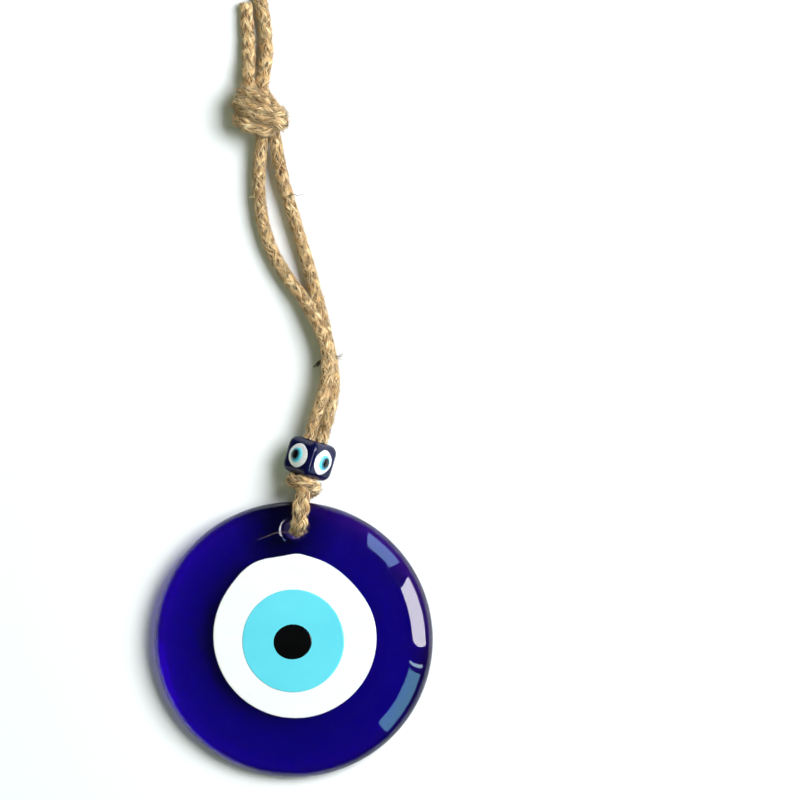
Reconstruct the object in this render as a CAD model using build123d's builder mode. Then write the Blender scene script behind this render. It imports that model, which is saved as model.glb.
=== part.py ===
"""Evil eye ornament: a glass eye disc hung on a doubled jute cord with a glass bead.

It lies face up on a surface. The origin is on that surface under the middle of
the disc, +Z up and +Y from the disc towards the cord. Millimetres.
"""

from build123d import *
from math import cos, pi, radians, sin, tan
import os

# Glass disc
DISC_D = 100.0
DISC_T = 9.0
DISC_TILT = 2.8  # degrees: the cord's back leg lies under the disc's top edge
BACK_EDGE_R = 3.0
SHOULDER_W = 10.0  # the front's rounded shoulder, across
SHOULDER_H = DISC_T - BACK_EDGE_R  # and deep
HOLE_AT = 40.1  # the hanging hole's centre from the disc's centre
HOLE_D = 8.6
HOLE_EDGE_R = 1.1

# Fused layers of the eye: centre, size, height above the disc's front, thickness
WHITE_AT = (0.6, 1.6)
WHITE_D = 59.3
BLUE_AT = (0.0, 0.1)
BLUE_D = 37.0
PUPIL_AT = (-0.2, -0.2)
PUPIL_W = 13.9
PUPIL_H = 12.7
LAYER_T = 1.8
LAYER_STEP = 0.25  # each layer stands this much above the one round it
LAYER_EDGE_R = 0.2

# Bead
BEAD = 13.3
BEAD_EDGE_R = 1.8
BEAD_BORE_D = 8.8
BEAD_BORE_EDGE = 0.3
BEAD_AT = (5.9, 65.3, 8.7)
BEAD_YAW = 17.0  # degrees clockwise from +Y
BEAD_ROLL = 38.5  # the right upper face's normal above level: near 45, so one edge is up
EYE_DOTS = {  # size, how far it stands out of the bead's face, offset outward
    "white": (9.0, 0.5, 0.0),
    "blue": (5.2, 0.8, 0.4),
    "pupil": (3.2, 1.0, 0.6),
}
EYE_SUNK = 0.5
EYE_EDGE_R = 0.15

# Cord
CORD_D = 4.0
CORD_R = CORD_D / 2
STRAND_PITCH = 4.1  # between the two strands' centres inside the bead

# The disc's own plane: its back's lowest point touches the surface
TILT = radians(DISC_TILT)
FLAT_BACK_R = DISC_D / 2 - BACK_EDGE_R
DISC_Z = FLAT_BACK_R * sin(TILT) + BACK_EDGE_R * (1 - cos(TILT))
disc_back = Plane(origin=(0, 0, DISC_Z), x_dir=(1, 0, 0), z_dir=(0, -sin(TILT), cos(TILT)))
disc_front = disc_back.offset(DISC_T)

os.makedirs("parts", exist_ok=True)


def save(piece, name):
    """Label a finished piece and write its STEP file."""
    piece.part.label = name
    export_step(piece.part, f"parts/{name}.step")


def layer_plane(step):
    """The top plane of a layer, step by step above the disc's front."""
    return disc_front.offset(step * LAYER_STEP)


# --- Glass disc: a poured slab with a pocket for the white layer ---------------
with BuildPart() as glass_disc:
    with BuildSketch(Plane(origin=disc_back.origin, x_dir=disc_back.x_dir, z_dir=-disc_back.y_dir)):
        with BuildLine():
            Line((0, 0), (FLAT_BACK_R, 0))
            RadiusArc((FLAT_BACK_R, 0), (DISC_D / 2, BACK_EDGE_R), -BACK_EDGE_R)
            EllipticalCenterArc(
                (DISC_D / 2 - SHOULDER_W, BACK_EDGE_R), SHOULDER_W, SHOULDER_H, 0, arc_size=90
            )
            Polyline((DISC_D / 2 - SHOULDER_W, DISC_T), (0, DISC_T), (0, 0))
        make_face()
    revolve(axis=Axis(disc_back.origin, disc_back.z_dir))
    with BuildSketch(disc_back):
        with Locations((0, HOLE_AT)):
            Circle(HOLE_D / 2)
    extrude(amount=DISC_T, mode=Mode.SUBTRACT)
    hole_edges = glass_disc.faces().filter_by(
        lambda f: f.geom_type == GeomType.CYLINDER and f.radius < HOLE_D
    ).edges().filter_by(GeomType.LINE, reverse=True)
    fillet(hole_edges, HOLE_EDGE_R)
    with BuildSketch(disc_front):
        with Locations(WHITE_AT):
            Circle(WHITE_D / 2)
    extrude(amount=-LAYER_T, mode=Mode.SUBTRACT)
save(glass_disc, "glass_disc")

# --- White layer, with a pocket for the light blue one -------------------------
with BuildPart() as white_layer:
    with BuildSketch(layer_plane(1)):
        with Locations(WHITE_AT):
            Circle(WHITE_D / 2)
    extrude(amount=-(LAYER_T + LAYER_STEP))
    fillet(white_layer.edges().group_by(Axis.Z)[-1], LAYER_EDGE_R)
    with BuildSketch(layer_plane(1)):
        with Locations(BLUE_AT):
            Circle(BLUE_D / 2)
    extrude(amount=-LAYER_T / 2, mode=Mode.SUBTRACT)
save(white_layer, "white_layer")

# --- Light blue layer, with a pocket for the pupil -----------------------------
with BuildPart() as light_blue_layer:
    with BuildSketch(layer_plane(2)):
        with Locations(BLUE_AT):
            Circle(BLUE_D / 2)
    extrude(amount=-(LAYER_T / 2 + LAYER_STEP))
    fillet(light_blue_layer.edges().group_by(Axis.Z)[-1], LAYER_EDGE_R)
    with BuildSketch(layer_plane(2)):
        with Locations(PUPIL_AT):
            Ellipse(PUPIL_W / 2, PUPIL_H / 2)
    extrude(amount=-LAYER_T / 4, mode=Mode.SUBTRACT)
save(light_blue_layer, "light_blue_layer")

# --- Pupil ---------------------------------------------------------------------
with BuildPart() as pupil:
    with BuildSketch(layer_plane(3)):
        with Locations(PUPIL_AT):
            Ellipse(PUPIL_W / 2, PUPIL_H / 2)
    extrude(amount=-(LAYER_T / 4 + LAYER_STEP))
save(pupil, "pupil")

# --- Bead: a rounded cube, one edge up, its bore along the cord ----------------
yaw = radians(BEAD_YAW)
along = Vector(sin(yaw), cos(yaw), 0)  # the bore's direction
across = Vector(cos(yaw), -sin(yaw), 0)
bead_mid = Vector(*BEAD_AT)
SIDE_FACES = 4


def bead_face(i):
    """The plane of side face i, its normal out of the bead, its y axis along the bore."""
    turn = radians(BEAD_ROLL + 90 * i)
    out = across * cos(turn) + Vector(0, 0, sin(turn))
    return Plane(origin=bead_mid + out * (BEAD / 2), x_dir=along.cross(out), z_dir=out)


with BuildPart() as bead_body:
    with BuildSketch(Plane(bead_mid, bead_face(0).z_dir, along).offset(-BEAD / 2)):
        Rectangle(BEAD, BEAD)
    extrude(amount=BEAD)
    fillet(bead_body.edges(), BEAD_EDGE_R)
    with BuildSketch(Plane(bead_mid, across, along).offset(-BEAD / 2)):
        Circle(BEAD_BORE_D / 2)
    extrude(amount=BEAD, mode=Mode.SUBTRACT)
    bore_edges = bead_body.edges().filter_by(
        lambda e: e.geom_type == GeomType.CIRCLE and abs(e.radius - BEAD_BORE_D / 2) < 0.01
    )
    fillet(bore_edges, BEAD_BORE_EDGE)
    for i in range(SIDE_FACES):
        with BuildSketch(bead_face(i)):
            Circle(EYE_DOTS["white"][0] / 2)
        extrude(amount=-EYE_SUNK, mode=Mode.SUBTRACT)
save(bead_body, "bead_body")

# --- The bead's eyes: a white dot, a light blue dot and a pupil on each face ----
for i in range(SIDE_FACES):
    base = -EYE_SUNK
    outward = 1 if i in (0, 3) else -1  # away from the bead's upper edge's middle
    for colour, (size, top, offset) in EYE_DOTS.items():
        with BuildPart() as dot:
            with BuildSketch(bead_face(i).offset(base)):
                with Locations((offset * outward, 0)):
                    Circle(size / 2)
            extrude(amount=top - base)
            rim = dot.edges().filter_by(GeomType.CIRCLE).sort_by_distance(bead_mid)[-1]
            fillet(rim, EYE_EDGE_R)
        save(dot, f"bead_eye_{colour}_{i + 1}")
        base = top


# --- Cord: tubes along straight runs joined by tangent arcs --------------------
def cord_tube(name, points):
    """Sweep the cord's section along a route with the largest arcs its runs allow."""
    route = [Vector(*p) for p in points]
    radii = []
    for before, here, after in zip(route, route[1:], route[2:]):
        turn = (here - before).get_angle(after - here)
        shorter = min((here - before).length, (after - here).length)
        radii.append(0.45 * shorter / tan(radians(turn) / 2))
    with BuildPart() as tube:
        with BuildLine() as path:
            FilletPolyline(*route, radius=radii)
        start = path.line @ 0
        with BuildSketch(Plane(origin=start, z_dir=path.line % 0)):
            Circle(CORD_R)
        sweep(path=path.line)
    length = sum(edge.length for edge in path.edges())
    ratio = tube.part.volume / (pi * CORD_R**2 * length)
    tight = min(radii)
    print(f"{name}: length {length:.1f}, volume ratio {ratio:.4f}, tightest radius {tight:.1f}")
    print("   radii", [round(r, 1) for r in radii])
    save(tube, name)


def in_bead(t, side):
    """A point t along the bore from the bead's middle, on one strand's centre line."""
    p = bead_mid + along * t + across * (side * STRAND_PITCH / 2)
    return (p.X, p.Y, p.Z)


# The loop: down over the disc's edge, through the hole and back under the edge
LOOP = [
    (3.4, 53.6, 11.4),
    (3.2, 51.0, 14.6),
    (2.7, 46.6, 16.3),
    (2.2, 42.0, 16.0),
    (1.7, 39.8, 12.6),
    (1.6, 39.5, 8.4),
    (1.7, 39.9, 4.4),
    (2.1, 42.6, 2.1),
    (2.7, 46.8, 2.05),
    (3.1, 51.2, 2.5),
    (3.3, 53.8, 5.2),
]
cord_tube("cord_loop", LOOP)

# The left run: lies on top of the right one where they meet, then bows out left
LEFT_RUN = [
    in_bead(-8.5, -1),
    in_bead(17.0, -1),
    (11.3, 89.8, 8.2),
    (12.4, 97.6, 6.8),
    (12.2, 105.0, 6.5),
    (9.4, 112.6, 6.2),
    (6.1, 119.0, 4.6),
    (2.3, 124.8, 2.6),
    (-2.2, 130.6, 2.0),
    (-6.4, 137.2, 2.1),
    (-9.6, 144.4, 2.1),
    (-11.6, 152.4, 2.0),
    (-12.6, 160.8, 2.2),
    (-12.6, 169.2, 3.1),
    (-11.9, 176.8, 4.6),
    (-11.0, 183.4, 5.6),
]
cord_tube("left_run", LEFT_RUN)

# The right run: stays nearly straight on the surface
RIGHT_RUN = [
    in_bead(-8.5, 1),
    in_bead(17.0, 1),
    (14.5, 89.6, 4.5),
    (14.2, 97.4, 2.3),
    (12.6, 105.2, 2.05),
    (10.6, 114.6, 2.0),
    (7.9, 125.2, 2.1),
    (4.9, 136.2, 2.0),
    (1.7, 147.2, 2.1),
    (-1.9, 158.6, 2.2),
    (-4.6, 168.4, 3.0),
    (-6.0, 176.4, 4.4),
    (-6.7, 183.4, 5.6),
]
cord_tube("right_run", RIGHT_RUN)

# The left tail: short, with a cut end
LEFT_TAIL = [
    (-16.0, 197.0, 6.0),
    (-16.3, 203.2, 5.2),
    (-16.2, 209.6, 3.4),
    (-16.4, 216.4, 2.3),
    (-16.9, 223.2, 2.0),
    (-17.2, 229.4, 2.1),
]
cord_tube("left_tail", LEFT_TAIL)

# The right tail: longer, and curls gently to the left
RIGHT_TAIL = [
    (-11.6, 196.6, 6.0),
    (-10.9, 202.8, 5.4),
    (-9.8, 210.0, 3.6),
    (-9.9, 218.2, 2.3),
    (-11.2, 226.8, 2.0),
    (-13.0, 235.6, 2.1),
    (-15.2, 244.6, 2.0),
    (-17.2, 253.8, 2.1),
    (-18.9, 263.2, 2.0),
    (-19.8, 272.4, 2.1),
]
cord_tube("right_tail", RIGHT_TAIL)

# --- Knots: closed solids of the knots' outer shapes ---------------------------
LOWER_KNOT_AT = (3.8, 55.5, 8.4)
LOWER_KNOT = (10.6, 6.2, 10.4)  # across, along the cord, thick
UPPER_KNOT_TOP = 10.4
UPPER_KNOT = [  # each lump of the knot: middle, width, length
    ((-9.6, 189.8), 15.0, 15.4),
    ((-15.2, 192.6), 12.0, 12.4),
]

with BuildPart() as lower_knot:
    with BuildSketch(Plane(origin=LOWER_KNOT_AT, x_dir=across, z_dir=along).offset(-LOWER_KNOT[1] / 2)):
        Ellipse(LOWER_KNOT[0] / 2, LOWER_KNOT[2] / 2)
    extrude(amount=LOWER_KNOT[1])
    fillet(lower_knot.edges(), LOWER_KNOT[1] * 0.42)
save(lower_knot, "lower_knot")

with BuildPart() as upper_knot:
    with BuildSketch(Plane.XY):
        for middle, width, length in UPPER_KNOT:
            with Locations(middle):
                Ellipse(width / 2, length / 2)
    extrude(amount=UPPER_KNOT_TOP)
    fillet(upper_knot.edges().group_by(Axis.Z)[0], 2.5)
    fillet(upper_knot.edges().group_by(Axis.Z)[-1], 4.0)
save(upper_knot, "upper_knot")
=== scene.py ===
"""Evil eye ornament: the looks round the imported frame. Metres, the frame's own axes."""

import math

import bpy
import numpy as np
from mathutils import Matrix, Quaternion, Vector


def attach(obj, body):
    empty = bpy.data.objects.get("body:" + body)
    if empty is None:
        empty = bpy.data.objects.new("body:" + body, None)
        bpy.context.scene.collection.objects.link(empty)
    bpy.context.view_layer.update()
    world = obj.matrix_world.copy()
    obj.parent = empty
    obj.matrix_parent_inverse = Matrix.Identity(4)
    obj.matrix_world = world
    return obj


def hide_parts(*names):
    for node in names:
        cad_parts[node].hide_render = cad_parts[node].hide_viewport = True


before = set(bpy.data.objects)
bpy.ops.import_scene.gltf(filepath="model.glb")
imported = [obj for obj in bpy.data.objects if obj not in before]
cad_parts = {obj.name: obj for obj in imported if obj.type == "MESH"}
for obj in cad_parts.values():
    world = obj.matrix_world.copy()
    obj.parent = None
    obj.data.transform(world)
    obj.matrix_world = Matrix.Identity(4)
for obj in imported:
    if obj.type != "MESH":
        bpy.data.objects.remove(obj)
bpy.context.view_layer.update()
MM = 0.001


# ------------------------------------------------------------------ camera
VIEW_WIDTH = 0.2888  # what the view spans, across, at VIEW_Z
VIEW_MIDDLE = (0.0384, 0.0864)
VIEW_Z = 0.0055  # about the disc's mid-height
CAMERA_UP = 2.2  # from VIEW_Z to the camera
SENSOR = 36.0


def make_camera():
    data = bpy.data.cameras.new("camera")
    data.sensor_width = SENSOR
    data.lens = SENSOR * CAMERA_UP / VIEW_WIDTH
    camera = bpy.data.objects.new("camera", data)
    camera.location = (*VIEW_MIDDLE, VIEW_Z + CAMERA_UP)
    bpy.context.collection.objects.link(camera)
    bpy.context.scene.camera = camera


make_camera()
bpy.context.scene.view_settings.view_transform = "Standard"


# ------------------------------------------------------------------ mesh helpers
def enclosed(points, faces):
    """The volume that the faces close in: less than zero where they face inwards."""
    points = np.asarray(points, float)
    total = 0.0
    for size in sorted({len(f) for f in faces}):
        corner = points[np.array([f for f in faces if len(f) == size])]
        for k in range(1, size - 1):
            total += np.einsum("ij,ij->", corner[:, 0], np.cross(corner[:, k], corner[:, k + 1]))
    return total / 6


def add_mesh(name, points, faces, uv=None):
    """A mesh object from arrays, its faces outwards. uv maps a name to one (u, v) a point."""
    if enclosed(points, faces) < 0:
        faces = [f[::-1] for f in faces]
    mesh = bpy.data.meshes.new(name)
    mesh.from_pydata([tuple(p) for p in points], [], [tuple(f) for f in faces])
    for label, values in (uv or {}).items():
        layer = mesh.uv_layers.new(name=label)
        corner = np.zeros(len(mesh.loops), np.int32)
        mesh.loops.foreach_get("vertex_index", corner)
        layer.data.foreach_set("uv", np.asarray(values, np.float32)[corner].ravel())
    mesh.polygons.foreach_set("use_smooth", [True] * len(mesh.polygons))
    mesh.update()
    thing = bpy.data.objects.new(name, mesh)
    bpy.context.collection.objects.link(thing)
    return thing


def grid_faces(rows, columns, start=0, wrap_rows=False, flip=False):
    """Quads between rows of points, each row a closed ring. wrap_rows joins the last to the first."""
    faces = []
    for i in range(rows if wrap_rows else rows - 1):
        a, b = start + i * columns, start + (i + 1) % rows * columns
        for j in range(columns):
            k = (j + 1) % columns
            quad = (a + j, a + k, b + k, b + j)
            faces.append(quad[::-1] if flip else quad)
    return faces


def end_caps(rows, columns, start=0):
    """A face over the first ring of such a grid, and one over its last."""
    last = start + (rows - 1) * columns
    return [tuple(range(start, start + columns)), tuple(range(last, last + columns))[::-1]]


def unit(v):
    return v / np.maximum(np.linalg.norm(v, axis=-1, keepdims=True), 1e-12)


class Waves:
    """A smooth random function, a sum of sines, from -1 to 1 or so."""

    def __init__(self, seed, inputs, shortest, longest, terms=10):
        draw = np.random.default_rng(seed)
        direction = unit(draw.normal(size=(terms, inputs)))
        length = draw.uniform(shortest, longest, (terms, 1))
        self.k = direction * 2 * math.pi / length
        self.phase = draw.uniform(0, 2 * math.pi, terms)

    def __call__(self, *inputs):
        x = np.stack(np.broadcast_arrays(*inputs), axis=-1)
        return np.sin(x @ self.k.T + self.phase).sum(-1) / math.sqrt(len(self.phase))


# ------------------------------------------------------------------ materials
class Nodes:
    """A material's node tree, with short ways to add to it."""

    def __init__(self, name):
        self.material = bpy.data.materials.new(name)
        self.material.use_nodes = True
        self.tree = self.material.node_tree
        self.shader = self.tree.nodes["Principled BSDF"]
        self.output = self.tree.nodes["Material Output"]

    def set(self, **values):
        for name, value in values.items():
            self.shader.inputs[name.replace("_", " ")].default_value = value

    def add(self, kind, **settings):
        node = self.tree.nodes.new("ShaderNode" + kind)
        for name, value in settings.items():
            setattr(node, name, value)
        return node

    def link(self, a, b):
        self.tree.links.new(a, b)

    def ramp(self, source, stops):
        node = self.add("ValToRGB")
        while len(node.color_ramp.elements) < len(stops):
            node.color_ramp.elements.new(0.5)
        for element, (at, colour) in zip(node.color_ramp.elements, stops):
            element.position = at
            element.color = (*colour, 1)
        self.link(source, node.inputs[0])
        return node.outputs[0]

    def noise(self, coordinates, scale, detail=3.0, stretch=(1, 1, 1)):
        mapping = self.add("Mapping")
        mapping.inputs["Scale"].default_value = stretch
        self.link(coordinates, mapping.inputs["Vector"])
        node = self.add("TexNoise")
        node.inputs["Scale"].default_value = scale
        node.inputs["Detail"].default_value = detail
        self.link(mapping.outputs[0], node.inputs["Vector"])
        return node.outputs["Fac"]

    def mix(self, factor, a, b, blend="MIX"):
        node = self.add("Mix", data_type="RGBA", blend_type=blend)
        for socket, value in ((node.inputs[0], factor), (node.inputs[6], a), (node.inputs[7], b)):
            if hasattr(value, "is_output"):
                self.link(value, socket)
            else:
                socket.default_value = value
        return node.outputs[2]

    def distance(self, place, middle):
        """How far it is from the middle."""
        away = self.add("VectorMath", operation="DISTANCE")
        self.link(place, away.inputs[0])
        away.inputs[1].default_value = middle
        return away.outputs["Value"]

    def span(self, value, low, high):
        """0 at low and 1 at high."""
        node = self.add("MapRange")
        self.link(value, node.inputs["Value"])
        node.inputs["From Min"].default_value, node.inputs["From Max"].default_value = low, high
        return node.outputs[0]

    def shade(self, place, middle, low, high, first, last):
        """One colour within low of the middle, another beyond high, and a blend between."""
        return self.ramp(self.span(self.distance(place, middle), low, high), [(0, first), (1, last)])

    def times(self, a, b):
        return self.mix(1.0, a, b, "MULTIPLY")

    def bump(self, height, strength, distance):
        node = self.add("Bump")
        node.inputs["Strength"].default_value = strength
        node.inputs["Distance"].default_value = distance
        self.link(height, node.inputs["Height"])
        return node.outputs[0]


CLEAR = (1.0, 1.0, 1.0)
FIBRE_STRETCH = (13.0, 240.0, 1.0)  # fine across a strand and long along it
FLECK_STRETCH = (8.0, 420.0, 1.0)
AGED = (0.62, 0.50, 0.38)  # the darker stretches of the cord
# Painted shade: the colour deep in the gaps of the plait
GAP_SHADE = (0.14, 0.075, 0.03)  # deep between the strands


def jute_material(name, dark, middle, light, speck, shade_gaps=False):
    """Jute: long fine fibres of uneven colour, darker flecks, and if asked, painted shade in the gaps
    between and under the strands.
    """
    n = Nodes(name)
    uv = n.add("UVMap", uv_map="along").outputs[0]
    place = n.add("NewGeometry").outputs["Position"]
    fibre = n.noise(uv, 1.0, 4.0, FIBRE_STRETCH)
    tone = n.ramp(n.noise(place, 150.0, 2.0), [(0.35, AGED), (0.62, CLEAR)])
    fleck = n.ramp(n.noise(uv, 1.0, 2.0, FLECK_STRETCH), [(0.62, (0, 0, 0)), (0.70, (0.85, 0.85, 0.85))])
    base = n.ramp(fibre, [(0.39, dark), (0.49, middle), (0.59, light)])
    colour = n.mix(fleck, n.mix(0.5, base, tone, "MULTIPLY"), (*speck, 1))
    if shade_gaps:
        # Painted shade: darker where the "depth" map is low, in the gaps between and under the strands
        depth = n.add("SeparateXYZ")
        n.link(n.add("UVMap", uv_map="depth").outputs[0], depth.inputs[0])
        colour = n.times(colour, n.ramp(depth.outputs[0], [(0.12, GAP_SHADE), (0.46, CLEAR)]))
    n.link(colour, n.shader.inputs["Base Color"])
    n.set(Roughness=0.78, Sheen_Weight=0.2, Sheen_Roughness=0.5)
    n.link(n.bump(fibre, 0.9, 0.0003), n.shader.inputs["Normal"])
    return n.material


# The glass's painted shade: middle, from, to, first colour, last colour
# Painted shadow of the cord and knots: darker round the hole
HOLE_PAINTED_SHADOW = ((-0.002, 0.041, 0.008), 0.006, 0.020, (0.28, 0.25, 0.40), CLEAR)
# Painted shade: darker towards the rim
RIM_PAINTED_SHADE = ((0.0, 0.0, 0.0068), 0.0465, 0.0498, CLEAR, (0.16, 0.14, 0.22))
# Painted light: the glass is brighter on the side that is away from the light
PAINTED_GLOW_SPAN = (-0.046, 0.000)
PAINTED_GLOW = [(0, CLEAR), (0.35, (0.86, 0.86, 0.88)), (1, (0.76, 0.76, 0.80))]
GLASS_IOR = 1.52


def glass_material(name, colour, density):
    """Clear coloured glass: smooth faces, light taken up by its depth, painted shade round the hole and at
    the rim, and painted light on the side away from the light.
    """
    n = Nodes(name)
    place = n.add("TexCoord").outputs["Object"]
    split = n.add("SeparateXYZ")
    n.link(place, split.inputs[0])
    painted_glow = n.ramp(n.span(split.outputs["X"], *PAINTED_GLOW_SPAN), PAINTED_GLOW)
    shade = n.times(n.shade(place, *HOLE_PAINTED_SHADOW), n.shade(place, *RIM_PAINTED_SHADE))
    n.link(n.times(shade, painted_glow), n.shader.inputs["Base Color"])
    n.set(Roughness=0.015, IOR=GLASS_IOR, Transmission_Weight=1.0)
    n.link(n.bump(n.noise(place, 55.0, 1.0), 0.12, 0.0004), n.shader.inputs["Normal"])
    volume = n.add("VolumeAbsorption")
    volume.inputs["Color"].default_value = (*colour, 1)
    volume.inputs["Density"].default_value = density
    n.link(volume.outputs[0], n.output.inputs["Volume"])
    return n.material


def enamel_material(name, low, high, scale, roughness=0.06, milk=0.0, coat=0.3, shine=0.5):
    """Opaque glass: faint streaks from pouring, a glossy skin, a little depth."""
    n = Nodes(name)
    place = n.add("TexCoord").outputs["Object"]
    streak = n.noise(place, scale, 4.0, (1.0, 1.6, 1.0))
    n.link(n.ramp(streak, [(0.3, low), (0.7, high)]), n.shader.inputs["Base Color"])
    n.set(Roughness=roughness, IOR=GLASS_IOR, Specular_IOR_Level=shine)
    n.set(Coat_Weight=coat, Coat_Roughness=0.03)
    n.set(Subsurface_Weight=milk, Subsurface_Scale=0.0008)
    n.link(n.bump(n.noise(place, 90.0, 2.0), 0.08, 0.0003), n.shader.inputs["Normal"])
    return n.material


# ------------------------------------------------------------------ cords: routes
CORD_D = 0.0041
SKIN = 0.0022  # where the loose fibres leave the cord
HOLE_MIDDLE = (0.0012, 0.0396, 0.0084)

# The back leg, under the glass, once round the front leg as the lower knot, into the bead
BACK_LEG = [
    HOLE_MIDDLE,
    (0.0014, 0.0399, 0.0044),
    (0.0021, 0.0426, 0.0021),
    (0.0027, 0.0468, 0.0021),
    (0.0031, 0.0512, 0.0025),
]
LOWER_WRAP = [
    (0.0060, 0.0536, 0.0038),
    (0.0077, 0.0545, 0.0076),
    (0.0069, 0.0552, 0.0118),
    (0.0037, 0.0562, 0.0134),
    (0.0004, 0.0572, 0.0118),
    (-0.0004, 0.0577, 0.0082),
    (0.0010, 0.0583, 0.0064),
]
LEFT_STRAND = [
    (0.0026, 0.0615, 0.0087),
    (0.0077, 0.0783, 0.0087),
    (0.0089, 0.0822, 0.0087),
    (0.0113, 0.0898, 0.0083),
    (0.0124, 0.0976, 0.0073),
    (0.0122, 0.1050, 0.0070),
    (0.0094, 0.1126, 0.0067),
    (0.0061, 0.1190, 0.0056),
    (0.0023, 0.1248, 0.0045),
    (-0.0022, 0.1306, 0.0038),
    (-0.0064, 0.1372, 0.0035),
    (-0.0096, 0.1444, 0.0035),
    (-0.0116, 0.1524, 0.0036),
    (-0.0126, 0.1608, 0.0038),
    (-0.0126, 0.1692, 0.0043),
    (-0.0119, 0.1768, 0.0050),
]
# The front leg, over the glass, under the lower knot's band, into the bead
FRONT_LEG = [
    HOLE_MIDDLE,
    (0.0015, 0.0395, 0.0128),
    (0.0022, 0.0418, 0.0162),
    (0.0027, 0.0466, 0.0163),
    (0.0032, 0.0510, 0.0142),
    (0.0038, 0.0536, 0.0108),
    (0.0046, 0.0556, 0.0086),
]
RIGHT_STRAND = [
    (0.0064, 0.0599, 0.0087),
    (0.0117, 0.0771, 0.0087),
    (0.0128, 0.0810, 0.0087),
    (0.0145, 0.0896, 0.0046),
    (0.0142, 0.0974, 0.0026),
    (0.0126, 0.1052, 0.0024),
    (0.0106, 0.1146, 0.0027),
    (0.0079, 0.1252, 0.0031),
    (0.0049, 0.1362, 0.0034),
    (0.0017, 0.1472, 0.0036),
    (-0.0019, 0.1586, 0.0038),
    (-0.0046, 0.1684, 0.0043),
    (-0.0060, 0.1764, 0.0050),
]
# The upper knot, tied in both strands side by side: the pair's middle from the
# knot's own middle, and half the way from the left strand to the right one
KNOT_MIDDLE = (-0.0119, 0.1907, 0.0062)
KNOT_PAIR = [
    ((0.0030, -0.0084, -0.0010), (0.0020, 0.0001, 0.0002)),
    ((0.0004, -0.0038, -0.0008), (0.0016, 0.0012, 0.0003)),
    ((-0.0040, 0.0012, -0.0008), (0.0013, 0.0016, 0.0003)),
    ((-0.0076, 0.0044, 0.0000), (0.0009, 0.0018, 0.0000)),
    ((-0.0070, 0.0052, 0.0032), (0.0008, 0.0019, 0.0000)),
    ((-0.0032, 0.0040, 0.0045), (0.0006, 0.0019, 0.0000)),
    ((0.0014, 0.0020, 0.0042), (-0.0004, 0.0020, -0.0003)),
    ((0.0046, 0.0010, 0.0022), (-0.0027, 0.0018, -0.0006)),
    ((0.0050, 0.0006, -0.0014), (-0.0026, 0.0016, 0.0000)),
    ((0.0030, 0.0004, -0.0040), (-0.0006, 0.0020, 0.0000)),
    ((-0.0038, 0.0012, -0.0041), (0.0004, 0.0020, 0.0000)),
    ((-0.0074, -0.0004, -0.0020), (0.0003, 0.0020, 0.0000)),
    ((-0.0076, -0.0016, 0.0018), (0.0004, 0.0020, 0.0000)),
    ((-0.0038, -0.0034, 0.0038), (0.0006, 0.0020, 0.0002)),
    ((0.0016, -0.0052, 0.0036), (0.0008, 0.0020, 0.0004)),
    ((0.0056, -0.0060, 0.0022), (0.0020, 0.0010, 0.0004)),
    ((0.0062, -0.0050, -0.0010), (0.0017, 0.0008, 0.0000)),
    ((0.0032, 0.0000, -0.0016), (0.0014, 0.0015, 0.0000)),
    ((-0.0004, 0.0044, -0.0014), (0.0018, 0.0010, 0.0000)),
    ((-0.0020, 0.0088, -0.0006), (0.0021, 0.0001, 0.0000)),
]
LEFT_TAIL = [
    (-0.0163, 0.2036, 0.0052),
    (-0.0162, 0.2096, 0.0034),
    (-0.0164, 0.2164, 0.0023),
    (-0.0169, 0.2232, 0.0021),
    (-0.0172, 0.2294, 0.0021),
]
RIGHT_TAIL = [
    (-0.0109, 0.2034, 0.0054),
    (-0.0098, 0.2100, 0.0036),
    (-0.0099, 0.2182, 0.0023),
    (-0.0112, 0.2268, 0.0021),
    (-0.0130, 0.2356, 0.0021),
    (-0.0152, 0.2446, 0.0021),
    (-0.0172, 0.2538, 0.0021),
    (-0.0189, 0.2632, 0.0021),
    (-0.0198, 0.2724, 0.0021),
]


def knot_strand(side):
    """One strand's points through the upper knot: side -1 is the left, 1 the right."""
    middle = np.array(KNOT_MIDDLE)
    return [tuple(middle + np.array(at) + side * np.array(half)) for at, half in KNOT_PAIR]


CORD_LEFT = BACK_LEG + LOWER_WRAP + LEFT_STRAND + knot_strand(-1) + LEFT_TAIL
CORD_RIGHT = FRONT_LEG + RIGHT_STRAND + knot_strand(1) + RIGHT_TAIL


class Line:
    """A cord's centre line, evenly spaced, with a frame that doesn't twist."""

    STEP = 0.00032

    def __init__(self, name, route, first_normal):
        curve = bpy.data.curves.new(name, "CURVE")
        curve.dimensions = "3D"
        spline = curve.splines.new("NURBS")
        spline.points.add(len(route) - 1)
        for point, place in zip(spline.points, route):
            point.co = (*place, 1)
        spline.order_u = 3
        spline.use_endpoint_u = True
        spline.resolution_u = 24
        holder = bpy.data.objects.new(name, curve)
        mesh = bpy.data.meshes.new_from_object(holder)
        rough = np.array([v.co for v in mesh.vertices], float)
        bpy.data.meshes.remove(mesh)
        bpy.data.objects.remove(holder)
        along = np.concatenate([[0], np.cumsum(np.linalg.norm(np.diff(rough, axis=0), axis=1))])
        self.length = along[-1]
        self.s = np.linspace(0, self.length, int(self.length / self.STEP) + 1)
        self.at = np.stack([np.interp(self.s, along, rough[:, k]) for k in range(3)], axis=1)
        self.tangent = unit(np.gradient(self.at, axis=0))
        normal = np.zeros_like(self.at)
        now = np.array(first_normal, float)
        for i, t in enumerate(self.tangent):
            now = unit(now - t * (now @ t))
            normal[i] = now
        self.normal = normal
        self.across = np.cross(self.tangent, normal)

    def index(self, s):
        return np.clip((np.asarray(s) / self.length * (len(self.s) - 1)).astype(int), 0, len(self.s) - 1)


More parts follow.
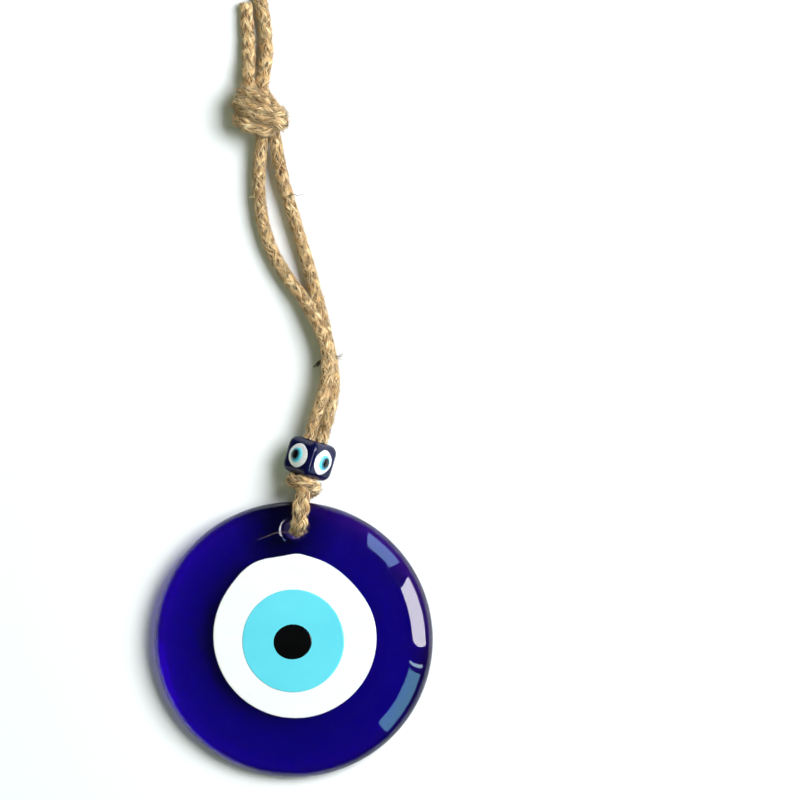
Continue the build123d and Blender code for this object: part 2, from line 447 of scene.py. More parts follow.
# ------------------------------------------------------------------ cords: braid
PITCH = 0.0230  # one whole turn of a strand round the cord
STRAND_AT = 0.00158  # a strand's middle from the cord's middle
STRAND_RISE = 0.00026  # how far it goes in and out as it crosses the others
STRAND_WIDE = 0.00108  # half its width
STRAND_THICK = 0.00060  # half its thickness
STRAND_SIDES = 14
STRAND_DRIFT = 0.20  # how unevenly a strand runs round, in radians
STRAND_LOOSE = 0.00006  # how unevenly they stand off the cord's middle
CORE_R = 0.0013
# The painted shade in the plait, given through the "depth" map: the core, under, edge and groove darkening
CORE_DEPTH = 0.25  # how light the core is, as "depth": 0 is deep in a gap, and 1 is on top
UNDER_DEPTH = 0.46  # the same, where a strand goes under another
EDGE_SHARE, EDGE_POWER = 0.72, 2.2  # how much darker a strand gets towards its edges
GROOVE_SHARE = 0.3  # how much darker it is between its yarns
ON_FLOOR = 0.00004  # the cord lies flat on the surface, and not in it
YARNS = 5  # the ridges round a strand
YARN_TURN = 0.0075  # half a turn of the yarns round their strand
YARN_HEIGHT = 0.12  # how far the ridges stand out, as a share of the strand's size
SWELL_SHARE = 0.12  # how much its size changes along it
RIDGE_SHARE = 0.07  # how rough its skin is
RIDGE_AT = 0.0009  # how far from a strand's middle its roughness is taken
EACH_WAY = 4  # strands that turn each way
STRANDS = [(way, 2 * math.pi * (k + (way > 0) / 2) / EACH_WAY) for way in (1, -1) for k in range(EACH_WAY)]


SPREAD, SQUASH = 0.30, -0.22  # how much wider and lower a cord gets where it's pressed


def flatten(line, spokes, pressed):
    """Presses a cord down where it lies or is pulled tight: wider, and not so high."""
    level = unit(np.cross([0.0, 0.0, 1.0], line.tangent))
    upright = np.cross(line.tangent, level)
    lying = np.clip(1.6 * (1 - np.abs(line.tangent[:, 2])), 0, 1) * pressed
    spread = SPREAD * lying * np.einsum("ij,ij->i", spokes, level)
    squash = SQUASH * lying * np.einsum("ij,ij->i", spokes, upright)
    return spokes + spread[:, None] * level + squash[:, None] * upright


def braid(name, line, pressed, girth, seed):
    """Strands plaited round a core: half turn one way and half the other, over and under.

    The "along" map has each strand's own way round and way along, for its fibres. The "depth"
    map says how far down in the plait each point is, and holds the painted shade of its gaps.
    """
    draw = np.random.default_rng(seed)
    loose = Waves(seed + 1, 1, 0.012, 0.05)
    points, faces, uvs, depths = [], [], [], []
    phi = np.arange(STRAND_SIDES) / STRAND_SIDES * 2 * math.pi
    count = len(line.s) * STRAND_SIDES

    def tube(ring, depth):
        ring[..., 2] = np.maximum(ring[..., 2], ON_FLOOR)
        start = len(points) * count
        points.append(ring.reshape(-1, 3))
        faces.extend(grid_faces(len(line.s), STRAND_SIDES, start))
        faces.extend(end_caps(len(line.s), STRAND_SIDES, start))
        u = phi[None, :] / (2 * math.pi) + 3 * len(points) + draw.uniform(0, 1)
        v = np.broadcast_to(line.s[:, None] + 0.37 * len(points), (len(line.s), STRAND_SIDES))
        uvs.append(np.stack([np.broadcast_to(u, v.shape), v], axis=-1).reshape(-1, 2))
        depths.append(np.stack([depth, 0 * depth], axis=-1).reshape(-1, 2))

    for number, (way, phase) in enumerate(STRANDS):
        wobble = Waves(seed + 10 + number, 1, 0.005, 0.03)
        swell = Waves(seed + 30 + number, 1, 0.003, 0.012)
        theta = way * 2 * math.pi * line.s / PITCH + phase + STRAND_DRIFT * wobble(line.s)
        rise = way * np.cos(EACH_WAY * theta)
        out = girth * (STRAND_AT + STRAND_RISE * rise + STRAND_LOOSE * loose(line.s))
        spoke = np.cos(theta)[:, None] * line.normal + np.sin(theta)[:, None] * line.across
        spoke = flatten(line, spoke, pressed)
        middle = line.at + out[:, None] * spoke
        ahead = unit(np.gradient(middle, axis=0))
        side = unit(np.cross(ahead, spoke))
        up = np.cross(side, ahead)
        ridge = Waves(seed + 50 + number, 3, 0.0007, 0.0030, 18)
        twist = YARNS / 2 * phi[None, :] + way * math.pi * line.s[:, None] / YARN_TURN
        size = 0.95 + YARN_HEIGHT * np.abs(np.sin(twist)) + SWELL_SHARE * swell(line.s)[:, None]
        skin = RIDGE_AT * np.cos(phi)[None, :], RIDGE_AT * np.sin(phi)[None, :], 0.35 * line.s[:, None]
        size += RIDGE_SHARE * ridge(*skin)
        size *= girth[:, None]
        ring = (
            middle[:, None, :]
            + (STRAND_WIDE * np.cos(phi)[None, :] * size)[..., None] * side[:, None, :]
            + (STRAND_THICK * np.sin(phi)[None, :] * size)[..., None] * up[:, None, :]
        )
        # Painted shade: darker at a strand's edges, where it goes under another, and between its yarns
        edge = np.abs(np.cos(phi))[None, :] ** EDGE_POWER
        proud = UNDER_DEPTH + (1 - UNDER_DEPTH) * np.clip((rise[:, None] + 1.0) / 1.2, 0, 1)
        groove = 1 - GROOVE_SHARE * (1 - np.abs(np.sin(twist)))
        tube(ring, proud * (1 - EDGE_SHARE * edge) * groove)
    around = np.cos(phi)[None, :, None] * line.normal[:, None, :]
    around = around + np.sin(phi)[None, :, None] * line.across[:, None, :]
    core = line.at[:, None, :] + CORE_R * girth[:, None, None] * around
    tube(core, np.full((len(line.s), STRAND_SIDES), CORE_DEPTH))
    uv = {"along": np.concatenate(uvs), "depth": np.concatenate(depths)}
    return add_mesh(name, np.concatenate(points), faces, uv)


# ------------------------------------------------------------------ cords: loose fibres
FIBRE_POINTS = 8
FIBRE_SIDES = 3
FIBRE_FLOOR = 0.00012  # how low a fibre's middle line may lie


class Hair:
    """Collects thin fibres, and makes one mesh of them."""

    def __init__(self):
        self.points, self.faces, self.uvs = [], [], []

    def add(self, path, radius, taper=0.35):
        """One fibre: taper is its far end's thickness, as a share of its near end's."""
        path = np.array(path, float)
        path[:, 2] = np.maximum(path[:, 2], FIBRE_FLOOR)
        ahead = unit(np.gradient(path, axis=0))
        ref = np.where(np.abs(ahead[:, 2:3]) > 0.9, [[1.0, 0, 0]], [[0, 0, 1.0]])
        side = unit(np.cross(ahead, ref))
        up = np.cross(side, ahead)
        t = np.linspace(0, 1, len(path))
        size = radius * (1 - (1 - taper) * t**2)
        start = len(self.points)
        for p, a, b, r in zip(path, side, up, size):
            for k in range(FIBRE_SIDES):
                turn = 2 * math.pi * k / FIBRE_SIDES
                self.points.append(p + r * (math.cos(turn) * a + math.sin(turn) * b))
                self.uvs.append((k / FIBRE_SIDES + len(self.faces) * 0.013, p[1] + t[0]))
        self.faces += grid_faces(len(path), FIBRE_SIDES, start)
        self.faces += end_caps(len(path), FIBRE_SIDES, start)

    def make(self, name):
        return add_mesh(name, self.points, self.faces, {"along": self.uvs})


def lying_fibre(line, draw, s, length, lift, slant):
    """A fibre that lies along the cord's skin."""
    theta = draw.uniform(0, 2 * math.pi)
    steps = np.linspace(0, 1, FIBRE_POINTS)
    i = line.index(s + steps * length)
    angle = theta + slant * steps * length / CORD_D * 2
    out = SKIN + lift * np.sin(steps * math.pi)
    return line.at[i] + out[:, None] * (
        np.cos(angle)[:, None] * line.normal[i] + np.sin(angle)[:, None] * line.across[i]
    )


def stray_fibre(line, draw, s, length, out, count=FIBRE_POINTS):
    """A fibre that leaves the cord, and curls."""
    theta = draw.uniform(0, 2 * math.pi)
    i = int(line.index(s))
    spoke = math.cos(theta) * line.normal[i] + math.sin(theta) * line.across[i]
    way = line.tangent[i] * draw.choice([-1, 1])
    curl = unit(draw.normal(size=3))
    t = np.linspace(0, 1, count)[:, None]
    return (
        line.at[i]
        + spoke * SKIN * 0.95
        + way * t * length
        + spoke * out * t**1.6
        + curl * length * 0.35 * t**2 * draw.uniform(-1, 1)
    )


# Single fibres that stand out from the cord, in millimetres: their radius, and their points
OVER_KNOT = [
    (-19.9, 194.9, 12.0),
    (-17.8, 192.6, 13.4),
    (-15.8, 190.1, 13.8),
    (-14.0, 187.6, 13.6),
    (-13.2, 186.4, 13.5),
    (-12.2, 186.9, 13.5),
]
BY_HOLE = [
    (0.2, 38.6, 13.4),
    (-3.0, 38.9, 14.2),
    (-6.0, 38.7, 14.3),
    (-9.0, 37.6, 14.3),
    (-12.8, 36.1, 14.2),
]
PALE_STRAYS = [
    (0.12, [(-14.0, 159.4, 4.5), (-15.4, 159.8, 5.2), (-17.4, 159.3, 5.4)]),
    (0.17, OVER_KNOT),
    (0.14, [(-16.0, 198.0, 9.6), (-19.0, 198.6, 9.8), (-21.9, 198.5, 9.6)]),
    (0.12, [(-15.5, 196.6, 10.5), (-18.6, 197.4, 10.7), (-21.0, 198.0, 10.2)]),
    (0.055, BY_HOLE),
    (0.06, [(9.0, 103.0, 5.4), (8.3, 104.4, 5.9), (7.4, 105.8, 6.0)]),
    (0.05, [(3.0, 110.6, 4.0), (1.6, 112.4, 4.4)]),
]
DARK_STRAY = [
    (-2.3, 160.1, 6.2),
    (-0.9, 160.2, 6.8),
    (0.3, 160.7, 7.0),
    (1.2, 160.2, 7.0),
    (3.4, 160.6, 7.2),
]
DARK_STRAY_R = 0.16
# The tuft above the bead, in millimetres: from, to, how many fibres, their radius, their spread
TUFT_DARK = [
    # The first clump is near-black: a stub's dark end, with the stub's contact shadow painted into it
    ((10.6, 101.3, 3.4), (7.3, 98.3, 2.2), 12, 0.20, 0.7),
    ((14.6, 101.6, 4.0), (18.3, 102.9, 3.8), 10, 0.07, 2.2),
]
TUFT_PALE = ((14.4, 101.0, 4.4), (17.0, 101.2, 4.4), 16, 0.06, 1.8)
BLUNT = 0.6  # the taper of single and bunched fibres


def bunch(hair, draw, start, end, count, radius, spread):
    """A small bunch of fibres from one place towards another."""
    t = np.linspace(0, 1, FIBRE_POINTS)[:, None]
    for _ in range(count):
        reach = draw.uniform(0.55, 1.05)
        bend = draw.normal(size=3) * spread * 0.3
        far = (np.array(end) - start) * reach + draw.normal(size=3) * spread * 0.35
        root = np.array(start) + draw.normal(size=3) * 0.25
        hair.add((root + far * t + bend * t * (1 - t) * 4) * MM, radius * MM, BLUNT)


def single(hair, radius, points):
    """One fibre along the line through its points."""
    t = np.linspace(0, len(points) - 1, 5 * len(points))
    path = np.stack([np.interp(t, range(len(points)), c) for c in zip(*points)], axis=-1)
    hair.add(path * MM, radius * MM, BLUNT)


def skin_fibres(hair, line, draw, count, span, lengths, lift, slant, radii):
    """Fibres that lie along the cord's skin, at random places in the span."""
    for _ in range(count):
        s, length = draw.uniform(*span), draw.uniform(*lengths)
        path = lying_fibre(line, draw, s, length, draw.uniform(0, lift), draw.uniform(-slant, slant))
        hair.add(path, draw.uniform(*radii))


def loose_fibres(hair, line, draw, count, span, lengths, outs, radii, points=FIBRE_POINTS):
    """Fibres that leave the cord, at random places in the span."""
    for _ in range(count):
        s, length = draw.uniform(*span), draw.uniform(*lengths)
        hair.add(stray_fibre(line, draw, s, length, draw.uniform(*outs), points), draw.uniform(*radii))


FIBRE_EVERY = 0.00030  # one fibre along the skin and one that strays, for each such length of cord
NAP_EVERY = 0.00006  # and one short hair of the nap
END_FIBRES = 90


def fluff(name, line, seed, thick_spans, strays=()):
    """The cord's loose fibres: along its skin, straying, a short nap, the knots' and its end's."""
    draw = np.random.default_rng(seed)
    hair = Hair()
    count = int(line.length / FIBRE_EVERY)
    span = (0, line.length - 0.009)
    skin_fibres(hair, line, draw, count, span, (0.003, 0.009), 0.0003, 0.7, (0.00005, 0.00013))
    span = (0, line.length - 0.004)
    loose_fibres(hair, line, draw, count, span, (0.0008, 0.0035), (0.0004, 0.0015), (0.00004, 0.00008))
    count = int(line.length / NAP_EVERY)
    span = (0, line.length)
    loose_fibres(hair, line, draw, count, span, (0.0004, 0.0014), (0.0004, 0.0012), (0.00004, 0.00008), 4)
    for low, high, count in thick_spans:
        span = (low, high)
        loose_fibres(hair, line, draw, count, span, (0.001, 0.0045), (0.0005, 0.0017), (0.00005, 0.00011))
    for stray in strays:
        single(hair, *stray)
    if strays:
        bunch(hair, draw, *TUFT_PALE)
    end, ahead = line.at[-1], line.tangent[-1]
    for _ in range(END_FIBRES):
        theta, r = draw.uniform(0, 2 * math.pi), CORD_D / 2 * math.sqrt(draw.uniform(0, 1)) * 0.9
        spoke = math.cos(theta) * line.normal[-1] + math.sin(theta) * line.across[-1]
        t = np.linspace(0, 1, FIBRE_POINTS)[:, None]
        length = draw.uniform(0.0006, 0.0020)
        path = end - ahead * 0.0006 + spoke * r + ahead * length * t
        path = path + spoke * draw.uniform(0, 0.0012) * t**2
        hair.add(path, draw.uniform(0.00004, 0.00009))
    return hair.make(name)


# Each jute's dark, middle and light fibres, and its flecks
JUTE = jute_material(
    "jute", (0.18, 0.076, 0.016), (0.80, 0.480, 0.180), (1.00, 0.83, 0.50), (0.10, 0.040, 0.010), shade_gaps=True
)
JUTE_FIBRE = jute_material(
    "jute_fibre", (0.48, 0.26, 0.08), (0.94, 0.65, 0.29), (1.00, 0.86, 0.53), (0.16, 0.08, 0.02)
)

line_left = Line("line_left", CORD_LEFT, (0, -1, 0))
line_right = Line("line_right", CORD_RIGHT, (0, -1, 0))


def pressed_over(line, low, high):
    """How hard the cord is pressed: 1 in the lower knot's span, and little beyond its ends."""
    away = np.maximum(low - line.s, line.s - high)
    return np.maximum(0.12, np.clip(1 - away / 0.004, 0, 1))


def span_of(line, y_low, y_high):
    """Where along the line it first passes one y and last passes another."""
    inside = np.nonzero((line.at[:, 1] > y_low) & (line.at[:, 1] < y_high))[0]
    return line.s[inside[0]], line.s[inside[-1]]


BEAD_Y = (0.0600, 0.0735)
UPPER_KNOT_Y = (0.184, 0.198)
LOWER_KNOT_Y = (0.0525, 0.0585)
FRONT_LEG_SPAN = (0.002, 0.016)
IN_BEAD_GIRTH = 0.90
BEYOND_BEAD = [(0.085, 0.95), (0.18, 0.88), (0.22, 0.98)]  # how far along, and the girth there


def girth_along(line, legs, in_bead):
    """How thick the cord is, against its usual size, from one stop along it to the next."""
    stops = legs + [(s, IN_BEAD_GIRTH) for s in in_bead] + BEYOND_BEAD
    return np.interp(line.s, *zip(*stops))


bead_left, bead_right = span_of(line_left, *BEAD_Y), span_of(line_right, *BEAD_Y)
legs_left = [(0, 0.84), (0.010, 1.08), (bead_left[0] - 0.004, 1.12)]
legs_right = [(0, 0.84), (0.003, 1.0), (0.008, 1.08), (0.015, 1.12)]
girth_left = girth_along(line_left, legs_left, bead_left)
girth_right = girth_along(line_right, legs_right, bead_right)
cord_left = braid("cord_left", line_left, pressed_over(line_left, 0.024, 0.036), girth_left, 11)
cord_right = braid("cord_right", line_right, pressed_over(line_right, 0.006, 0.017), girth_right, 12)

upper_left, upper_right = span_of(line_left, *UPPER_KNOT_Y), span_of(line_right, *UPPER_KNOT_Y)
lower_left = span_of(line_left, *LOWER_KNOT_Y)
fluff_left = fluff(
    "cord_left_fluff", line_left, 21, [(*upper_left, 850), (*lower_left, 220)], PALE_STRAYS
)
fluff_right = fluff(
    "cord_right_fluff", line_right, 22, [(*upper_right, 850), (*FRONT_LEG_SPAN, 260)]
)

# Dark fibres: one that stands out, the tuft's, and thin ones that lie in the cord's skin; those in the
# knots are painted shade in their cracks
JUTE_DARK = jute_material(
    "jute_dark", (0.030, 0.016, 0.006), (0.055, 0.032, 0.012), (0.10, 0.06, 0.02), (0.01, 0.007, 0.002)
)
dark_hair = Hair()
single(dark_hair, DARK_STRAY_R, DARK_STRAY)
for clump in TUFT_DARK:
    bunch(dark_hair, np.random.default_rng(31), *clump)
dark_draw = np.random.default_rng(32)
# In the knots these dark fibres are painted shade in the cracks between the rolls; along the rest of the
# cord they are thin dark fibres
for line, span, count in (
    (line_left, upper_left, 230),
    (line_right, upper_right, 230),
    (line_left, lower_left, 60),
    (line_right, FRONT_LEG_SPAN, 60),
    (line_left, (0.002, line_left.length - 0.006), 330),
    (line_right, (0.002, line_right.length - 0.006), 330),
):
    skin_fibres(
        dark_hair, line, dark_draw, count, span, (0.0015, 0.0040), 0.00012, 0.9, (0.00004, 0.00009)
    )
dark_fibres = dark_hair.make("cord_dark_fibres")
dark_fibres.data.materials.append(JUTE_DARK)
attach(dark_fibres, "cord")
for piece, fuzz in ((cord_left, fluff_left), (cord_right, fluff_right)):
    piece.data.materials.append(JUTE)
    fuzz.data.materials.append(JUTE_FIBRE)
    for o in (piece, fuzz):
        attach(o, "cord")
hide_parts("left_run", "left_tail", "lower_knot", "upper_knot")
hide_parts("cord_loop", "right_run", "right_tail")


# ------------------------------------------------------------------ glass disc
TILT = math.radians(2.8)
DISC_R = 0.050
DISC_T = 0.009
BACK_EDGE = 0.003  # the back's rounded edge
SHOULDER = 0.010  # how far in the front's rounding reaches
FLAT_BACK = DISC_R - BACK_EDGE
DISC_Z = FLAT_BACK * math.sin(TILT) + BACK_EDGE * (1 - math.cos(TILT))
HOLE_AT = 0.0401
HOLE_R = 0.0034
HOLE_EDGE = 0.0020  # the rounding at each end of the hole
OVAL = (1.006, 0.998)  # the poured disc is a little wider than it is tall
AROUND = 256
RIM_START = 0.046  # outward from here its rings are round the disc's middle
FRONT_UNEVEN, BACK_UNEVEN = 0.00004, 0.00003


def tilted(points):
    """From the disc's own plane, its back at height 0, to the frame's axes."""
    x, y, z = np.moveaxis(np.asarray(points, float), -1, 0)
    c, s = math.cos(TILT), math.sin(TILT)
    return np.stack([x, y * c - z * s, DISC_Z + y * s + z * c], axis=-1)


ripple = Waves(5, 2, 0.014, 0.040, 12)
back_ripple = Waves(6, 2, 0.010, 0.030, 12)


def hole_rounding(x, y):
    """How far the face falls away towards the hole."""
    near = np.clip(1 - (np.hypot(x, y - HOLE_AT) - HOLE_R) / HOLE_EDGE, 0, 1)
    return HOLE_EDGE * (1 - np.sqrt(1 - near**2))


def front_height(x, y):
    """The front face: flat in the middle, rounded at the shoulder and at the hole."""
    rho = np.hypot(x, y)
    over = np.clip((rho - (DISC_R - SHOULDER)) / SHOULDER, 0, 1)
    z = BACK_EDGE + (DISC_T - BACK_EDGE) * np.sqrt(1 - over**2)
    return z - hole_rounding(x, y) + FRONT_UNEVEN * ripple(x, y)


def back_height(x, y):
    return hole_rounding(x, y) + BACK_UNEVEN * (1 + back_ripple(x, y))


def eccentric_rings(outer, count, power):
    """Rings from the hole's edge out to a circle round the disc's middle."""
    rings = []
    phi = np.arange(AROUND) / AROUND * 2 * math.pi
    for t in np.linspace(0, 1, count) ** power:
        radius = HOLE_R * (1 - t) + outer * t
        rings.append(np.stack([radius * np.cos(phi), HOLE_AT * (1 - t) + radius * np.sin(phi)], axis=-1))
    return rings


def make_disc():
    """A closed glass body: front, rim, back and the hole's wall, ring by ring."""
    phi = np.arange(AROUND) / AROUND * 2 * math.pi
    circle = np.stack([np.cos(phi), np.sin(phi)], axis=-1)
    rows = []
    for flat in eccentric_rings(RIM_START, 120, 1.25):
        rows.append(np.column_stack([flat, front_height(*flat.T)]))
    first = math.asin((RIM_START - DISC_R + SHOULDER) / SHOULDER)
    for a in np.linspace(first, math.pi / 2, 30)[1:]:
        flat = circle * (DISC_R - SHOULDER + SHOULDER * math.sin(a))
        z = BACK_EDGE + (DISC_T - BACK_EDGE) * math.cos(a) + FRONT_UNEVEN * ripple(*flat.T)
        rows.append(np.column_stack([flat, z]))
    for a in np.linspace(0, math.pi / 2, 14)[1:]:
        flat = circle * (FLAT_BACK + BACK_EDGE * math.cos(a))
        z = BACK_EDGE * (1 - math.sin(a)) + BACK_UNEVEN
        rows.append(np.column_stack([flat, np.full(AROUND, z)]))
    for flat in eccentric_rings(RIM_START, 70, 1.25)[::-1]:
        rows.append(np.column_stack([flat, back_height(*flat.T)]))
    wall = eccentric_rings(RIM_START, 2, 1)[0]
    for z in np.linspace(HOLE_EDGE, DISC_T - HOLE_EDGE, 10)[1:-1]:
        rows.append(np.column_stack([wall, np.full(AROUND, z)]))
    points = np.concatenate(rows)
    points[:, 0] *= OVAL[0]
    points[:, 1] *= OVAL[1]
    return add_mesh("disc_glass", tilted(points), grid_faces(len(rows), AROUND, wrap_rows=True))


def round_layer(name, middle, half, top, depth, edge, seed, uneven, bulges=()):
    """A flat drop of glass with a soft edge and a hand-poured outline.

    Each bulge is the bearing it is at, how wide it is, in degrees, and how far it goes out.
    """
    phi = np.arange(AROUND) / AROUND * 2 * math.pi
    outline = Waves(seed, 2, 1.2, 4.0)
    grow = 1 + uneven * outline(np.cos(phi), np.sin(phi))
    for towards, width, amount in bulges:
        away = np.angle(np.exp(1j * (phi - math.radians(towards))))
        grow = grow + amount * np.exp(-((away / math.radians(width)) ** 2))
    circle = np.stack([np.cos(phi) * half[0] * grow, np.sin(phi) * half[1] * grow], axis=-1)
    surface = Waves(seed + 1, 2, 0.010, 0.030)
    rows = []

    def ring(share, z):
        flat = circle * share + np.array(middle)
        rows.append(np.column_stack([flat, z + 0.00002 * surface(*flat.T) * (share < 1)]))

    inner = 1 - edge / half[0]
    for share in np.linspace(0.02, inner, 24):
        ring(share, np.full(AROUND, top))
    for a in np.linspace(0, math.pi / 2, 8)[1:]:
        ring(inner + (1 - inner) * math.sin(a), np.full(AROUND, top - edge * (1 - math.cos(a))))
    ring(1.0, np.full(AROUND, top - depth))
    ring(0.02, np.full(AROUND, top - depth))
    points = tilted(np.concatenate(rows))
    return add_mesh(name, points, grid_faces(len(rows), AROUND, flip=True) + end_caps(len(rows), AROUND))


COBALT = glass_material("cobalt_glass", (0.47, 0.0, 0.845), 520.0)
WHITE = enamel_material("white_glass", (0.90, 0.91, 0.93), (0.94, 0.94, 0.95), 60.0, milk=0.15)
LIGHT_BLUE = enamel_material("light_blue_glass", (0.125, 0.68, 0.82), (0.145, 0.73, 0.86), 45.0)
BLACK = enamel_material("black_glass", (0.001, 0.001, 0.001), (0.003, 0.003, 0.004), 60.0, coat=0.0)
TEAL = enamel_material("teal_glass", (0.030, 0.20, 0.30), (0.045, 0.25, 0.35), 300.0)

disc = make_disc()
PROUD = 0.00022  # how far each layer stands above the one that it's set into
WHITE_BULGES = ((121, 15, 0.032), (45, 26, -0.040), (88, 6, 0.016), (103, 7, -0.008))
white = round_layer(
    "disc_white", (0.0006, 0.0016), (0.0295, 0.0295), DISC_T + PROUD, 0.0020, 0.0004, 31, 0.002,
    WHITE_BULGES,
)
blue = round_layer(
    "disc_light_blue", (0.0, 0.0001), (0.0183, 0.0186), DISC_T + 2 * PROUD, 0.0012, 0.0003, 33, 0.004
)
pupil = round_layer(
    "disc_pupil", (-0.0002, -0.0002), (0.00695, 0.00635), DISC_T + 3 * PROUD, 0.0006, 0.0003, 35, 0.008
)
for piece, node, material, slot in (
    (disc, "glass_disc", COBALT, "cobalt_glass"),
    (white, "white_layer", WHITE, "white_glass"),
    (blue, "light_blue_layer", LIGHT_BLUE, "light_blue_glass"),
    (pupil, "pupil", BLACK, "black_glass"),
):
    piece.data.materials.append(material)
    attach(piece, "disc")
    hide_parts(node)

# ------------------------------------------------------------------ bead
BEAD = 0.0133
BEAD_AT = np.array((0.0059, 0.0653, 0.0087))
BEAD_YAW = math.radians(17)
BEAD_ROLL = math.radians(41.0)
BEAD_BORE = 0.0044
BEAD_ROUND = 0.0032  # its edges at the two ends
BEAD_CORNER = 0.0017  # its edges along the bore
BORE_LIP = 0.0003
ALONG = np.array((math.sin(BEAD_YAW), math.cos(BEAD_YAW), 0))
ACROSS = np.array((math.cos(BEAD_YAW), -math.sin(BEAD_YAW), 0))
UP = np.array((0.0, 0.0, 1.0))
BEAD_AROUND = 160


def make_bead():
    """A cube of glass with soft edges and a bore, ring by ring round the bore."""
    phi = np.arange(BEAD_AROUND) / BEAD_AROUND * 2 * math.pi
    turned = np.abs(np.mod(phi - BEAD_ROLL + math.pi / 4, math.pi / 2) - math.pi / 4)
    core = BEAD / 2 - BEAD_CORNER
    corner = BEAD_CORNER**2 - core**2 * (np.cos(turned) - np.sin(turned)) ** 2
    outer = np.where(
        np.tan(turned) < core / (BEAD / 2),
        BEAD / 2 / np.cos(turned),
        core * (np.cos(turned) + np.sin(turned)) + np.sqrt(np.maximum(corner, 0)),
    )
    uneven = Waves(41, 3, 0.008, 0.02)
    spokes = np.cos(phi)[:, None] * ACROSS + np.sin(phi)[:, None] * UP
    half, lip = BEAD / 2, BORE_LIP
    profile = []  # how much of the outer shape, how far out from it, and how far along the bore
    for a in np.linspace(0, math.pi / 2, 5):
        profile.append((0.0, BEAD_BORE + lip * (1 - math.cos(a)), -half + lip * (1 - math.sin(a))))
    for a in np.linspace(0, math.pi / 2, 10):
        profile.append((1.0, -BEAD_ROUND * (1 - math.sin(a)), -half + BEAD_ROUND * (1 - math.cos(a))))
    for t in np.linspace(-half + BEAD_ROUND, half - BEAD_ROUND, 16)[1:-1]:
        profile.append((1.0, 0.0, t))
    for a in np.linspace(math.pi / 2, 0, 10):
        profile.append((1.0, -BEAD_ROUND * (1 - math.sin(a)), half - BEAD_ROUND * (1 - math.cos(a))))
    for a in np.linspace(math.pi / 2, 0, 5):
        profile.append((0.0, BEAD_BORE + lip * (1 - math.cos(a)), half - lip * (1 - math.sin(a))))
    for t in np.linspace(half - lip, -half + lip, 8)[1:-1]:
        profile.append((0.0, BEAD_BORE, t))
    rows = []
    for share, shift, t in profile:
        radius = np.maximum(share * outer + shift, BEAD_BORE)
        p = BEAD_AT + radius[:, None] * spokes + t * ALONG
        rows.append(p + 0.00005 * share * uneven(*p.T)[:, None] * spokes)
    return add_mesh("bead_glass", np.concatenate(rows), grid_faces(len(rows), BEAD_AROUND, wrap_rows=True))


def face_axes(i):
    """A side face's outward normal, and the way across it."""
    turn = BEAD_ROLL + math.pi / 2 * i
    out = ACROSS * math.cos(turn) + UP * math.sin(turn)
    return out, np.cross(ALONG, out)


DOT_AROUND = 64
DOT_EDGE = 0.8  # outward from this share of its radius, a dot rounds down


def make_dot(name, face, middle, half, bottom, top, seed):
    """A drop of glass on a bead's face: a low dome with an uneven round outline."""
    out, over = face_axes(face)
    phi = np.arange(DOT_AROUND) / DOT_AROUND * 2 * math.pi
    outline = Waves(seed, 2, 1.2, 3.0)
    grow = 1 + 0.018 * outline(np.cos(phi), np.sin(phi))
    rows = []
    over_edge = DOT_EDGE + 0.2 * np.sin(np.linspace(0.2, math.pi / 2, 8))
    crown = 0.35 * (top - bottom)
    for share in np.concatenate([[0.03], np.linspace(0.15, DOT_EDGE, 8), over_edge]):
        edge = max(0.0, (share - DOT_EDGE) / 0.2)
        z = top - crown * share**2 - (top - bottom - crown) * (1 - math.sqrt(1 - edge**2)) * 0.999
        rows.append((share, z))
    rows.append((1.0, bottom))
    rows.append((0.03, bottom))
    points = []
    for share, z in rows:
        x = middle[0] + half[0] * share * np.cos(phi) * grow
        y = middle[1] + half[1] * share * np.sin(phi) * grow
        points.append(BEAD_AT + (BEAD / 2 + z) * out + x[:, None] * over + y[:, None] * ALONG)
    caps = [face[::-1] for face in end_caps(len(rows), DOT_AROUND)]
    return add_mesh(name, np.concatenate(points), grid_faces(len(rows), DOT_AROUND) + caps)


NAVY = enamel_material(
    "bead_glass", (0.0030, 0.0035, 0.032), (0.0055, 0.0060, 0.055), 120.0,
    roughness=0.05, coat=0.0, shine=0.30,
)
bead = make_bead()
bead.data.materials.append(NAVY)
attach(bead, "bead")
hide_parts("bead_body")
# Each eye's dots: their colour, middle, half sizes, bottom and top, material and slot
DOTS = (
    ("white", (0.0, 0.0), (0.0050, 0.0048), -0.0008, 0.0004, WHITE, "white_glass"),
    ("blue", (0.0005, 0.0), (0.0027, 0.0028), 0.0002, 0.0007, LIGHT_BLUE, "light_blue_glass"),
    ("iris", (0.0007, 0.0), (0.0021, 0.0023), 0.0004, 0.00083, TEAL, "light_blue_glass"),
    ("pupil", (0.0009, 0.0001), (0.0016, 0.0018), 0.0005, 0.0010, BLACK, "black_glass"),
)
for face in range(4):
    outward = 1 if face in (0, 3) else -1
    for step, (colour, (aside, along), half, bottom, top, material, slot) in enumerate(DOTS):
        middle, seed = (aside * outward, along), 50 + 10 * face + step
        dot = make_dot(f"bead_{colour}_{face + 1}", face, middle, half, bottom, top, seed)
        dot.data.materials.append(material)
        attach(dot, "bead")
        if colour != "iris":
            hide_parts(f"bead_eye_{colour}_{face + 1}")


# ------------------------------------------------------------------ floor and light
FLOOR_HALF = 3.0
WINDOW_FAR = 0.8


def make_floor():
    n = Nodes("floor")
    n.set(Base_Color=(0.92, 0.93, 0.93, 1), Roughness=0.6)
    corners = [(FLOOR_HALF * x, FLOOR_HALF * y, 0) for x, y in ((-1, -1), (1, -1), (1, 1), (-1, 1))]
    floor = add_mesh("floor", corners, [(0, 1, 2, 3)])
    floor.data.materials.append(n.material)


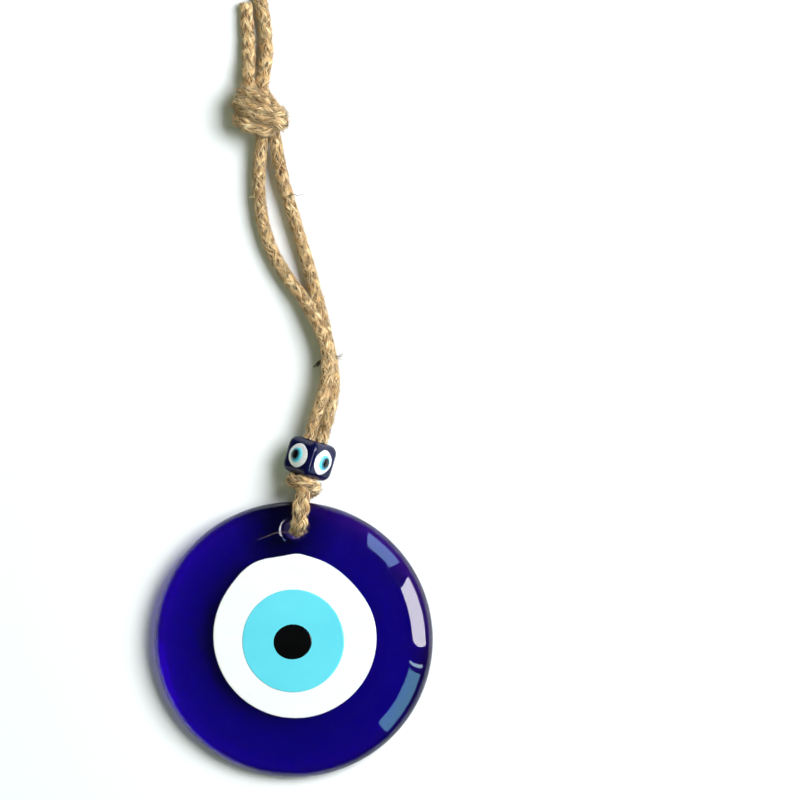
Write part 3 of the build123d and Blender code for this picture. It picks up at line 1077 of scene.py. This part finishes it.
def area_light(name, size, radiance, location, turned):
    """A rectangle that shines evenly, with the given radiance in red, green and blue."""
    data = bpy.data.lights.new(name, "AREA")
    data.shape = "RECTANGLE"
    data.size, data.size_y = size
    strength = max(radiance)
    data.color = [c / strength for c in radiance]
    data.energy = strength * math.pi * data.size * data.size_y
    light = bpy.data.objects.new(name, data)
    light.location = location
    light.rotation_mode = "QUATERNION"
    light.rotation_quaternion = turned
    bpy.context.collection.objects.link(light)
    return light


def make_window(name, bearing, aside, lean, width, low, high, radiance):
    """An upright window, seen only in the glass: its bearing, aside, lean, width, foot and head."""
    turn = math.radians(bearing)
    way = Vector((math.cos(turn), math.sin(turn), 0))
    level = Vector((-math.sin(turn), math.cos(turn), 0))
    location = way * WINDOW_FAR + level * aside + Vector((0, 0, (low + high) / 2))
    turned = way.to_track_quat("Z", "Y") @ Quaternion((0, 0, 1), math.radians(lean))
    area_light(name, (width, high - low), radiance, location, turned).visible_diffuse = False


def make_softbox(name, bearing, height, far, size, radiance):
    """A soft light that lights the object and the floor, and doesn't show in the glass."""
    turn, rise = math.radians(bearing), math.radians(height)
    way = Vector((math.cos(turn) * math.cos(rise), math.sin(turn) * math.cos(rise), math.sin(rise)))
    area_light(name, size, radiance, way * far, way.to_track_quat("Z", "Y")).visible_glossy = False


def make_world():
    world = bpy.data.worlds.new("world")
    world.use_nodes = True
    background = world.node_tree.nodes["Background"]
    background.inputs["Color"].default_value = (0.90, 1.0, 0.80, 1)
    background.inputs["Strength"].default_value = 0.03
    bpy.context.scene.world = world


make_floor()
make_world()
make_softbox("key", 27, 48, 1.5, (1.05, 0.90), (11.6, 12.0, 12.4))
make_softbox("fill", 190, 55, 1.6, (2.0, 2.0), (0.42, 0.47, 0.30))
make_window("pane_white", 19, -0.285, 6.7, 0.50, 0.39, 2.60, (14.2, 13.6, 14.2))
make_window("pane_bar", 47, -0.30, 4.3, 0.52, 2.62, 2.74, (3.0, 4.0, 6.0))
make_window("pane_strip", -7, -0.26, 5.5, 0.035, 0.38, 2.60, (6.0, 8.0, 8.5))
make_window("pane_blue", 48.5, -0.16, 4.3, 0.29, 0.41, 2.19, (2.5, 4.0, 7.0))
make_window("pane_teal", -29, -0.187, 5.5, 0.40, 0.34, 2.08, (1.6, 4.0, 4.6))
